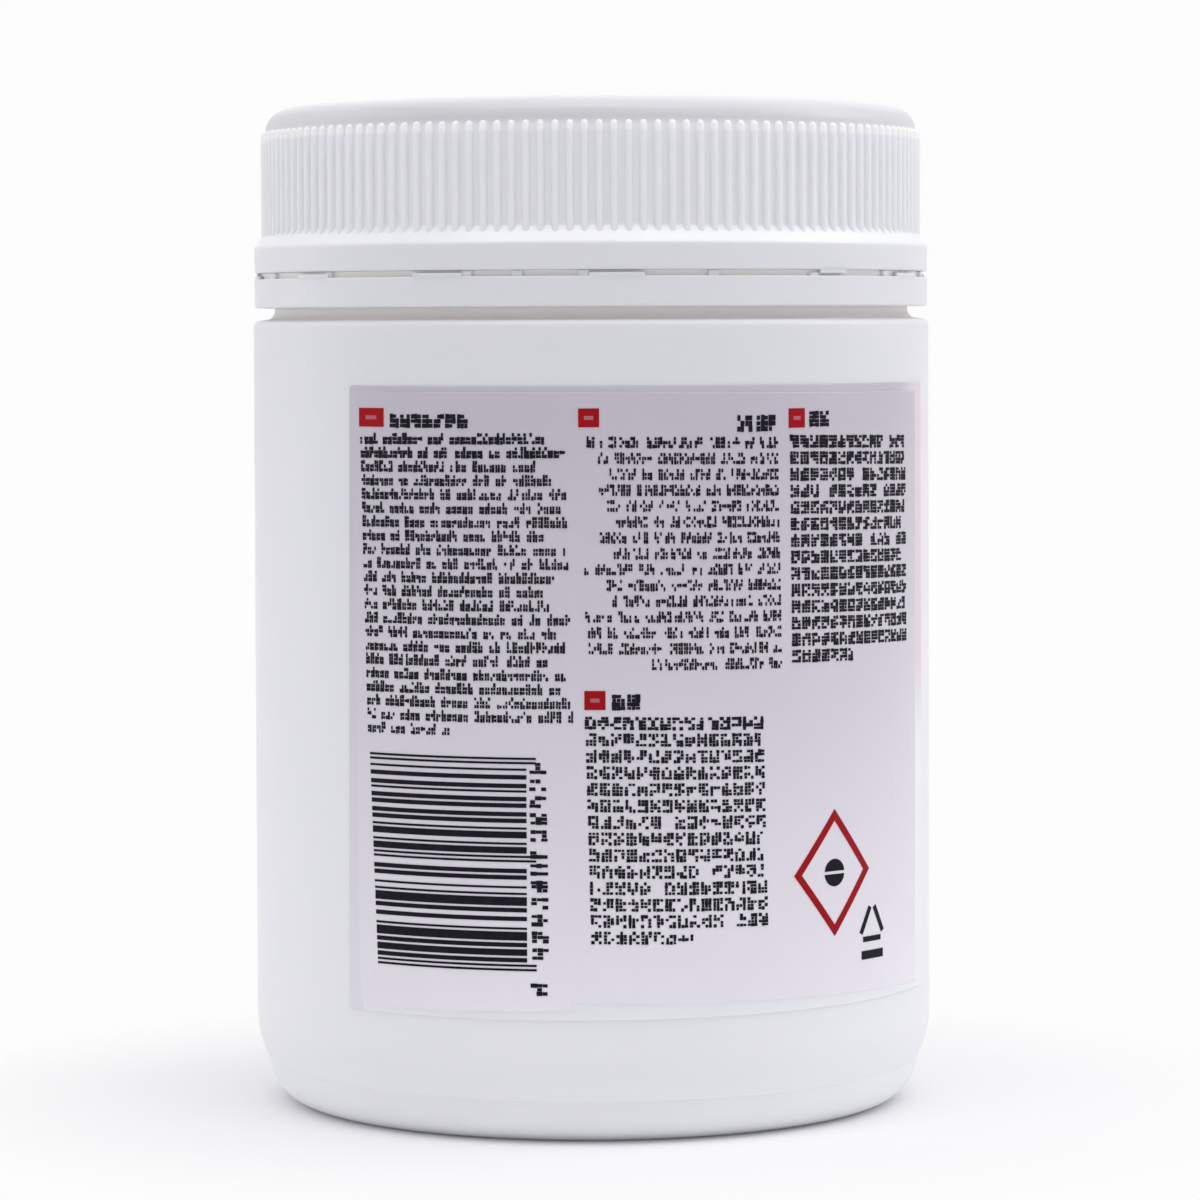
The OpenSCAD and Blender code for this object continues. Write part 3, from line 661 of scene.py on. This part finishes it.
def bandRing(b):
    bm = bmesh.new()
    revolve(bm, rounded([(b["lip"], (b["low"] + b["lipHigh"])/2), (b["lip"], b["low"], 0.1),
                         (b["outer"], b["low"], 0.28), (b["outer"], b["high"], 0.14),
                         (b["web"], b["high"], 0.08), (b["web"], b["webHigh"], 0.02),
                         (b["inner"], b["webHigh"], 0.08), (b["inner"], b["lipHigh"], 0.1),
                         (b["lip"], b["lipHigh"], 0.15), (b["lip"], b["lipHigh"] - 0.2)], 4),
            b["steps"])
    bmesh.ops.recalc_face_normals(bm, faces=bm.faces)
    foot = b["high"] - b["sunk"]
    for at in b["tabs"]:
        arcBlock(bm, at, b["tabSpan"], b["tabInner"], b["tabOuter"], foot, b["tabHigh"],
                 b["tabSoft"], b["tabSteps"])
    for at, high in [(at, b["bridgeHigh"]) for at in b["bridges"]] + [(b["stub"], b["stubHigh"])]:
        arcBlock(bm, at, b["bridgeSpan"], b["bridgeInner"], b["bridgeOuter"], foot, high,
                 b["bridgeSoft"], b["bridgeSteps"])
    return bm


bandPiece = newPiece("bandRing", bandRing(bandShape), capPlastic)
finishPiece(bandPiece, "jar", "cap_plastic", "tamper_band")


# Wrapping: a flat layout, x along the curve and -y outwards, is laid round the jar

def wrapNodes(tree, geometry):
    flat = splitVector(tree, result(tree, "GeometryNodeInputPosition"))
    angle = flat["X"]/(jarShape["bodyRadius"]*mm)
    slope = jarShape["draft"]/(jarShape["straightTop"] - jarShape["cornerHeight"])
    fall = (flat["Z"] - jarShape["cornerHeight"]*mm)*slope
    radius = jarShape["bodyRadius"]*mm - fall - flat["Y"]
    across = radius*calc(tree, "SINE", angle)
    depth = radius*-1.0*calc(tree, "COSINE", angle)
    return result(tree, "GeometryNodeSetPosition",
                  {"Geometry": geometry, "Position": vector(tree, across, depth, flat["Z"])})


def wrapTree():
    tree, given = newTree("wrapOnJar")
    return endTree(tree, wrapNodes(tree, given["Geometry"]), given["material"])


def cubesInRows(tree, points, place, size, gone, cube, ink):
    # each point moves to its place and gets a cube of its size, wrapped round the jar
    sized = result(tree, "GeometryNodeStoreNamedAttribute",
                   {"Geometry": points, "Name": "cubeSize", "Value": size},
                   data_type="FLOAT_VECTOR", domain="POINT")
    placed = result(tree, "GeometryNodeSetPosition", {"Geometry": sized, "Position": place})
    kept = result(tree, "GeometryNodeDeleteGeometry", {"Geometry": placed, "Selection": gone},
                  domain="POINT")
    stored = result(tree, "GeometryNodeInputNamedAttribute", {"Name": "cubeSize"},
                    data_type="FLOAT_VECTOR")
    copies = result(tree, "GeometryNodeInstanceOnPoints",
                    {"Points": kept, "Instance": cube, "Scale": stored})
    real = result(tree, "GeometryNodeRealizeInstances", {0: copies})
    return endTree(tree, wrapNodes(tree, real), ink)


wrapper = wrapTree()


def wrapPiece(name, bm, material, sharpAngle=35):
    bmesh.ops.recalc_face_normals(bm, faces=bm.faces)
    piece = newPiece(name, bm, material, sharpAngle)
    runTree(piece, wrapper, {"material": material})
    smooth(piece.data, sharpAngle)
    return piece


# Label: base film and the two leaves on it

labelShape = {
    "filmLift": (0.03, 0.13), "leafLift": (0.14, 0.28), "rightLift": (0.14, 0.2815),
    "inkLift": (0.285, 0.34), "up": 40, "cornerSteps": 32}

filmEdges = {"left": (-31.3, -30.75), "right": (52.3, 52.2), "low": (14.7, 14.85),
             "high": (87.0, 87.0), "corner": (0.3, 0.3), "soft": (0.08, 0.08)}
leftLeafEdges = {"left": (-29.35, -30.3), "right": (-2.0, -1.9), "low": (15.2, 16.0),
                 "high": (86.35, 86.3), "corner": (1.7, 0.8), "soft": (0.12, 0.0)}
rightLeafEdges = {"left": (-2.04, -1.94), "right": (48.9, 49.2), "low": (16.85, 15.7),
                  "high": (86.3, 85.95), "corner": (0.05, 0.05), "soft": (0.0, 0.12)}


def sheetSlab(edges, lift, across, up):
    # left and right are at the foot and head, low and high at the left and right ends, corner
    # rounds the left corners at the foot and head, soft sets the outer face in at each side
    bm = bmesh.new()
    low, high = edges["low"], edges["high"]
    width = edges["right"][1] - edges["left"][1]
    steps = labelShape["cornerSteps"]
    shares = sorted(set([i/across for i in range(across + 1)]
                        + [max(edges["corner"])/width*k/steps for k in range(1, steps + 1)]))
    layers = []
    for out, share in zip(lift, (0, 1)):
        softLeft, softRight = (share*soft for soft in edges["soft"])
        softEnd = max(softLeft, softRight)
        grid = []
        for u in shares:
            d = u*width
            foot, head = edges["corner"]
            cutLow = foot - math.sqrt(max(0, foot*foot - (foot - d)**2)) if d < foot else 0
            cutHigh = head - math.sqrt(max(0, head*head - (head - d)**2)) if d < head else 0
            z0 = low[0] + (low[1] - low[0])*u + cutLow + softEnd
            z1 = high[0] + (high[1] - high[0])*u - cutHigh - softEnd
            column = []
            for k in range(up + 1):
                v = k/up
                left = edges["left"][0] + (edges["left"][1] - edges["left"][0])*v + softLeft
                right = edges["right"][0] + (edges["right"][1] - edges["right"][0])*v - softRight
                column.append(bm.verts.new(((left + (right - left)*u)*mm, -out*mm,
                                            (z0 + (z1 - z0)*v)*mm)))
            grid.append(column)
        layers.append(grid)
    inner, outer = layers
    last = len(shares) - 1
    for grid in layers:
        for i in range(last):
            for k in range(up):
                bm.faces.new((grid[i][k], grid[i + 1][k], grid[i + 1][k + 1], grid[i][k + 1]))
    for i in range(last):
        bm.faces.new((inner[i][0], inner[i + 1][0], outer[i + 1][0], outer[i][0]))
        bm.faces.new((inner[i][up], inner[i + 1][up], outer[i + 1][up], outer[i][up]))
    for k in range(up):
        bm.faces.new((inner[0][k], inner[0][k + 1], outer[0][k + 1], outer[0][k]))
        bm.faces.new((inner[last][k], inner[last][k + 1], outer[last][k + 1], outer[last][k]))
    return bm


sheets = {
    "labelFilm": (filmEdges, "filmLift", 110, filmFinish, "label_film", "label_base"),
    "leafLeft": (leftLeafEdges, "leafLift", 40, leafFinish, "label_leaf", "label_left_leaf"),
    "leafRight": (rightLeafEdges, "rightLift", 70, leafFinish, "label_leaf",
                  "label_right_leaf")}
for name, (edges, lift, across, finish, slotName, node) in sheets.items():
    sheet = sheetSlab(edges, labelShape[lift], across, labelShape["up"])
    finishPiece(wrapPiece(name, sheet, finish), "jar", slotName, node)


# Print: fields of small plain blocks in rows

def textTree(look):
    tree, g = newTree(
        "blockRows", ("left", "width", "top", "pitch", "cell", "height", "fill", "topFill",
                      "ragged", "lastShare", "gap", "fromRight", "lean", "tilt", "lift",
                      "thickness"), ("lines", "columns", "rows", "boldLines", "seed"))
    cells = g["width"]//g["cell"]
    perCell = g["columns"]*g["rows"]
    points = result(tree, "GeometryNodePoints", {"Count": cells*perCell*g["lines"]})
    index = result(tree, "GeometryNodeInputIndex")
    cellNumber = index//perCell
    part = index % perCell
    column, row = part % g["columns"], part//g["columns"]
    cell, line = cellNumber % cells, cellNumber//cells

    def chance(identity, number, low=0.0, high=1.0):
        return randomBetween(tree, low, high, identity, g["seed"] + number)

    def gapAt(back):
        return chance(cellNumber - back, 2.0) < g["gap"]

    inCell = (column + 0.5)/g["columns"]
    run = calc(tree, "MULTIPLY_ADD", inCell, look["cellShare"], cell)*g["cell"]
    ragged = chance(line, 1.0)*g["ragged"]
    lastLine = calc(tree, "COMPARE", line, g["lines"] - 1.0, 0.5)
    share = 1.0 - lastLine*(1.0 - g["lastShare"])
    tooFar = run > (g["width"] - ragged)*share
    recent = calc(tree, "MAXIMUM", gapAt(1.0), gapAt(2.0))  # no group of one cell
    wordGap = (gapAt(0.0) - recent > 0.5)*(cell > look["firstWord"])
    topRow = calc(tree, "COMPARE", row, g["rows"] - 1.0, 0.5)
    filled = calc(tree, "MULTIPLY_ADD", topRow, g["topFill"] - g["fill"], g["fill"])
    empty = chance(index, 3.0) > filled
    gone = calc(tree, "MAXIMUM", calc(tree, "MAXIMUM", tooFar, wordGap), empty)

    fromLeft = g["left"] + run
    fromRight = g["left"] + g["width"] - run
    x = calc(tree, "MULTIPLY_ADD", fromRight - fromLeft, g["fromRight"], fromLeft)
    drop = line*g["pitch"]
    rise = ((row + 0.5)/g["rows"] - 0.5)*g["height"]
    z = g["top"] + rise - drop + (x - g["left"])*g["tilt"]
    x = calc(tree, "MULTIPLY_ADD", drop, g["lean"], x)
    thick = calc(tree, "MULTIPLY_ADD", line < g["boldLines"], look["bold"], 1.0)
    wide = (thick*chance(index, 4.0, *look["wide"])
            * (g["cell"]*look["cellShare"]/g["columns"]))
    tall = chance(index, 5.0, *look["tall"])*(g["height"]/g["rows"])
    cube = result(tree, "GeometryNodeMeshCube", {"Size": (1, 1, 1)})
    return cubesInRows(tree, points, vector(tree, x, g["lift"]*-1.0, z),
                       vector(tree, wide, g["thickness"], tall), gone, cube, g["material"])


blockLook = {"cellShare": 0.88, "bold": 0.2, "wide": (0.66, 0.98), "tall": (0.68, 1.1),
             "firstWord": 1.5}
blockRows = textTree(blockLook)

inkMiddle = sum(labelShape["inkLift"])/2
inkThickness = labelShape["inkLift"][1] - labelShape["inkLift"][0]

plainRows = {"lines": 1, "pitch": 0.0, "lastShare": 1.0, "boldLines": 0, "fromRight": 0.0,
             "lean": 0.0, "tilt": 0.0}
latinRows = dict(plainRows, cell=0.68, height=1.32, columns=2, rows=3, fill=0.9, topFill=0.26,
                 gap=0.26, ragged=4.0)
denseRows = dict(plainRows, cell=1.46, height=1.5, columns=3, rows=4, fill=0.84, topFill=0.8,
                 gap=0.03, ragged=1.2)
boldRows = dict(plainRows, cell=1.47, height=1.6, columns=3, rows=3, fill=0.93, topFill=0.88,
                gap=0.0, ragged=0.0, boldLines=20)

textFields = {
    "textColumnA": dict(latinRows, left=-28.8, right=-2.3, top=80.95, pitch=1.581, lines=22,
                        lastShare=0.44, boldLines=2, seed=11, lean=0.028, tilt=0.004),
    "textColumnB": dict(latinRows, left=-1.5, right=22.3, top=80.65, pitch=1.8, lines=15,
                        lastShare=0.72, boldLines=1, seed=23, fromRight=1.0, tilt=-0.012,
                        cell=0.62, fill=0.7, topFill=0.42, lean=0.02),
    "textColumnC": dict(denseRows, left=23.95, right=46.1, top=80.5, pitch=1.9, lines=14,
                        lastShare=0.45, boldLines=1, seed=37, lean=0.01, tilt=-0.02),
    "textColumnD": dict(denseRows, left=-0.85, right=20.9, top=48.8, pitch=1.885, lines=14,
                        lastShare=0.55, boldLines=1, seed=41, lean=0.024, tilt=-0.022,
                        cell=1.42, fill=0.7, topFill=0.68),
    "headingA": dict(boldRows, left=-24.4, right=-14.0, top=83.0, seed=3),
    "headingB": dict(boldRows, left=17.0, right=22.2, top=82.6, height=1.9, cell=1.02,
                     columns=2, seed=5, fill=0.75),
    "headingC": dict(boldRows, left=26.8, right=30.0, top=83.0, height=1.8, cell=1.58, rows=4,
                     seed=7),
    "headingD": dict(boldRows, left=2.2, right=5.7, top=51.1, height=1.8, cell=1.7, rows=4,
                     seed=9),
    "stripeFigures": dict(boldRows, left=-7.2, right=-4.7, top=43.6, height=1.35, cell=2.2,
                          lines=12, pitch=1.93, seed=13, fill=0.66, topFill=0.66, lean=0.01),
    "lowFigure": dict(boldRows, left=-7.1, right=-4.7, top=18.3, height=1.4, cell=2.2, seed=17,
                      fill=0.66, topFill=0.66)}

fieldLengths = ("left", "width", "top", "pitch", "cell", "height", "ragged")
inkValues = {"lift": inkMiddle*mm, "thickness": inkThickness*mm, "material": blackInk}

for name, field in textFields.items():
    values = dict(field, width=field["right"] - field["left"])
    values.update({key: values[key]*mm for key in fieldLengths})
    carrier = emptyCarrier(name)
    runTree(carrier, blockRows, values | inkValues)
    finishPiece(carrier, "jar", "black_ink",
                "print_text" if name.startswith("text")
                else "print_headings" if name.startswith("heading") else "print_marks")


# Striped block: stripes and gaps of random width, with longer guard stripes

stripeShape = {"count": 30, "left": -27.55, "leftLow": -26.5, "right": -7.55, "low": 20.4,
               "height": 24.4, "guardOut": 1.1, "guardReach": 1.5, "seed": 19,
               "widestBar": 3.4, "widestGap": 2.6, "cuts": 24}


def stripeTree(look):
    tree, g = newTree(
        "stripeStack", ("left", "right", "low", "height", "guardOut", "lean", "lift",
                        "thickness"), ("count", "seed"))
    index = result(tree, "GeometryNodeInputIndex")
    points = result(tree, "GeometryNodePoints", {"Count": g["count"]})
    fromEnd = g["count"] - 1.0 - index
    nearEnd = calc(tree, "MINIMUM", index, fromEnd) < look["guardReach"]
    nearMiddle = calc(tree, "ABSOLUTE", index - fromEnd) < look["guardReach"]
    guard = calc(tree, "MAXIMUM", nearEnd, nearMiddle)
    loose = 1.0 - guard

    def modules(number, widest):
        pick = randomBetween(tree, 0.0, widest, index, g["seed"] + number)
        return calc(tree, "MULTIPLY_ADD", calc(tree, "FLOOR", pick), loose, 1.0)

    bar = modules(1.0, look["widestBar"])
    summed = addNode(tree, "GeometryNodeAccumulateField",
                     {0: bar + modules(2.0, look["widestGap"])}, data_type="FLOAT",
                     domain="POINT").outputs
    module = g["height"]/(Wire(summed["Total"]) - 1.0)
    start = Wire(summed["Trailing"])*module
    tall = bar*module
    z = g["low"] + calc(tree, "MULTIPLY_ADD", tall, 0.5, start)
    left = g["left"] + (1.0 - start/g["height"])*g["lean"]
    right = calc(tree, "MULTIPLY_ADD", guard, g["guardOut"], g["right"])
    cube = result(tree, "GeometryNodeMeshCube",
                  {"Size": (1, 1, 1), "Vertices X": look["cuts"]})
    return cubesInRows(tree, points, vector(tree, (left + right)*0.5, g["lift"]*-1.0, z),
                       vector(tree, right - left, g["thickness"], tall), False, cube,
                       g["material"])


stripeLengths = ("left", "right", "low", "height", "guardOut", "lean")
values = dict(stripeShape, lean=stripeShape["leftLow"] - stripeShape["left"])
values.update({key: values[key]*mm for key in stripeLengths})
stripePiece = emptyCarrier("stripeBlock")
runTree(stripePiece, stripeTree(stripeShape), values | inkValues)
finishPiece(stripePiece, "jar", "black_ink", "print_stripes")


# Red boxes, diamond frame and the plain marks

markShape = {
    "boxes": ((-28.95, -25.3, 84.45, 82.3), (-1.5, 0.87, 84.45, 82.32),
              (23.8, 26.1, 84.25, 82.03), (-0.92, 1.47, 52.43, 50.26)),
    "diamond": (30.56, 30.4, 12.3, 14.8, 0.85), "disc": 1.6, "score": 0.36,
    "discSteps": 20, "dashShare": 0.44, "dashHeight": 0.44, "dashLift": 0.01,
    "triangle": (37.35, 23.6, 1.5, 3.5, 0.62), "caption": (35.3, 39.6, 19.75, 20.75)}


def slab(bm, loops, lift):
    # closed plate from an outline, or from an outline and the hole in it with as many points
    sides = []
    for loop in loops:
        sides.append([[bm.verts.new((x*mm, -out*mm, z*mm)) for x, z in loop] for out in lift])
    count = len(loops[0])
    for inner, outer in sides:
        for i in range(count):
            j = (i + 1) % count
            bm.faces.new((inner[i], inner[j], outer[j], outer[i]))
    for layer in (0, 1):
        if len(sides) == 1:
            bm.faces.new(sides[0][layer])
            continue
        a, c = sides[0][layer], sides[1][layer]
        for i in range(count):
            j = (i + 1) % count
            bm.faces.new((a[i], a[j], c[j], c[i]))


def divided(corners, steps):
    points = []
    for a, c in zip(corners, corners[1:] + corners[:1]):
        for i in range(steps):
            points.append((a[0] + (c[0] - a[0])*i/steps, a[1] + (c[1] - a[1])*i/steps))
    return points


def boxCorners(left, right, low, high):
    return [(left, low), (right, low), (right, high), (left, high)]


def diamondCorners(x, z, width, height):
    return [(x - width/2, z), (x, z - height/2), (x + width/2, z), (x, z + height/2)]


redMesh = bmesh.new()
for left, right, high, low in markShape["boxes"]:
    slab(redMesh, [divided(boxCorners(left, right, low, high), 4)], labelShape["inkLift"])
frameX, frameZ, frameWidth, frameHeight, frameLine = markShape["diamond"]
holeWidth = frameWidth - 2*frameLine*math.sqrt(1 + (frameWidth/frameHeight)**2)
slab(redMesh, [divided(diamondCorners(frameX, frameZ, frameWidth, frameHeight), 14),
               divided(diamondCorners(frameX, frameZ, holeWidth,
                                      holeWidth*frameHeight/frameWidth), 14)],
     labelShape["inkLift"])
redPiece = wrapPiece("redMarks", redMesh, redInk)
finishPiece(redPiece, "jar", "red_ink", "print_red")

paleMesh = bmesh.new()
for left, right, high, low in markShape["boxes"]:
    dash = (right - left)*markShape["dashShare"]/2
    middle, level, thin = (left + right)/2, (low + high)/2, markShape["dashHeight"]/2
    slab(paleMesh, [boxCorners(middle - dash, middle + dash, level - thin, level + thin)],
         (labelShape["inkLift"][1], labelShape["inkLift"][1] + markShape["dashLift"]))
palePiece = wrapPiece("boxDashes", paleMesh, paleInk)
finishPiece(palePiece, "jar", "red_ink", "print_red")

markMesh = bmesh.new()
for side in (-1, 1):
    start = math.degrees(math.asin(markShape["score"]/2/markShape["disc"]))
    slab(markMesh, [arcPoints(frameX, frameZ, markShape["disc"], side*markShape["disc"], start,
                              180 - start, markShape["discSteps"])], labelShape["inkLift"])
markX, markZ, inradius, length, stroke = markShape["triangle"]
for turn in (0, 120, 240):
    spin = Matrix.Rotation(math.radians(turn), 2)
    side = divided(boxCorners(-length/2, length/2, -inradius - stroke/2, -inradius + stroke/2), 3)
    turned = [spin @ Vector(corner) for corner in side]
    slab(markMesh, [[(markX + p.x, markZ + p.y) for p in turned]], labelShape["inkLift"])
left, right, low, high = markShape["caption"]
slab(markMesh, [divided(boxCorners(left, right, low, high), 4)], labelShape["inkLift"])
markPiece = wrapPiece("plainMarks", markMesh, blackInk)
finishPiece(markPiece, "jar", "black_ink", "print_marks")


# Nodes that keep their CAD shape

for node, material in (("cap_liner", foamFinish(foamLook)), ("tablets", tabletFinish(tabletLook))):
    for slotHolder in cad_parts[node].material_slots:
        slotHolder.material = material
print("label, print and inner parts done")


# Stage, light and camera

stageShape = {"floorSize": 6.0, "floorTone": (0.94, 0.94, 0.95, 1), "nearShare": 0.95,
              "nearRadius": 0.036, "farRadius": 0.086, "backWhite": 0.985,
              "backTone": (0.995, 0.995, 1.0, 1)}


def lightPath(tree):
    rays = addNode(tree, "ShaderNodeLightPath").outputs
    seen = calc(tree, "MAXIMUM", rays["Is Camera Ray"], rays["Is Transmission Ray"])
    return calc(tree, "MAXIMUM", seen, rays["Is Glossy Ray"])


def floorFinish(p):
    material = bpy.data.materials.new("paleFloor")
    material.use_nodes = True
    tree = material.node_tree
    tree.nodes.clear()
    plain = result(tree, "ShaderNodeBsdfDiffuse", {"Color": p["floorTone"]})
    glow = result(tree, "ShaderNodeEmission", {"Color": p["backTone"], "Strength": p["backWhite"]})
    place = result(tree, "ShaderNodeTexCoord", output="Object")
    away = result(tree, "ShaderNodeVectorMath", {0: place}, "Value", operation="LENGTH")
    share = spread(tree, away, p["nearRadius"], p["farRadius"], p["nearShare"], 0.0)
    seen = result(tree, "ShaderNodeMixShader", {0: share, 1: glow, 2: plain})
    mixed = result(tree, "ShaderNodeMixShader", {0: lightPath(tree), 1: plain, 2: seen})
    addNode(tree, "ShaderNodeOutputMaterial", {0: mixed})
    return material


floorMesh = bpy.data.meshes.new("floor")
half = stageShape["floorSize"]/2
floorMesh.from_pydata([(-half, -half, 0), (half, -half, 0), (half, half, 0), (-half, half, 0)],
                      [], [(0, 1, 2, 3)])
floorMesh.materials.append(floorFinish(stageShape))
addObject("floor", floorMesh)

roomShape = {"light": 0.70, "color": (0.97, 0.975, 1.0, 1), "dimToward": (0.0, -0.9, 0.436),
             "dim": 0.5, "dimWidth": 2.0}  # the room is dimmer behind the camera

world = bpy.data.worlds.new("softRoom")
bpy.context.scene.world = world
world.use_nodes = True
worldTree = world.node_tree
worldTree.nodes.clear()
toward = result(worldTree, "ShaderNodeTexCoord", output="Generated")
facing = result(worldTree, "ShaderNodeVectorMath", {0: toward, 1: roomShape["dimToward"]},
                "Value", operation="DOT_PRODUCT")
dimmed = calc(worldTree, "POWER", calc(worldTree, "MAXIMUM", facing, 0.0), roomShape["dimWidth"])
strength = calc(worldTree, "MULTIPLY_ADD", dimmed, -roomShape["light"]*roomShape["dim"],
                roomShape["light"])
roomLight = result(worldTree, "ShaderNodeBackground",
                   {"Color": roomShape["color"], "Strength": strength})
roomSeen = result(worldTree, "ShaderNodeBackground",
                  {"Color": stageShape["backTone"], "Strength": stageShape["backWhite"]})
roomMix = result(worldTree, "ShaderNodeMixShader",
                 {0: lightPath(worldTree), 1: roomLight, 2: roomSeen})
addNode(worldTree, "ShaderNodeOutputWorld", {0: roomMix})

lamps = {
    "lampTop": {"place": (0.0, -0.27, 0.90), "size": (1.0, 0.32), "power": 2.9},
    "lampFront": {"place": (0.0, -1.4, 0.05), "size": (1.6, 0.4), "power": 0.95},
    "lampLeft": {"place": (-0.75, 0.25, 0.30), "size": (0.5, 0.8), "power": 0.72},
    "lampRight": {"place": (0.65, 0.10, 0.60), "size": (0.5, 0.6), "power": 1.5}}
target = Vector((0, 0, 0.06))
for name, lamp in lamps.items():
    data = bpy.data.lights.new(name, "AREA")
    data.shape = "RECTANGLE"
    data.size, data.size_y = lamp["size"]
    data.energy = lamp["power"]
    light = addObject(name, data)
    light.location = lamp["place"]
    light.rotation_euler = (target - light.location).to_track_quat("-Z", "Y").to_euler()

view = {"distance": 589.7, "eye": 94.2, "pitch": 3.28, "roll": -0.22, "lens": 145.5,
        "shift": 0.0066, "sensor": 36, "clip": (0.01, 20)}
cameraData = bpy.data.cameras.new("photoCamera")
cameraData.sensor_width = view["sensor"]
cameraData.lens = view["lens"]
cameraData.shift_x = view["shift"]
cameraData.clip_start, cameraData.clip_end = view["clip"]
camera = addObject("photoCamera", cameraData)
camera.matrix_world = (
    Matrix.Translation(Vector((0, -view["distance"], view["eye"]))*mm)
    @ Matrix.Rotation(math.radians(90 - view["pitch"]), 4, "X")
    @ Matrix.Rotation(math.radians(view["roll"]), 4, "Z"))
bpy.context.scene.camera = camera
bpy.context.scene.view_settings.view_transform = "Standard"
print("stage, light and camera done")
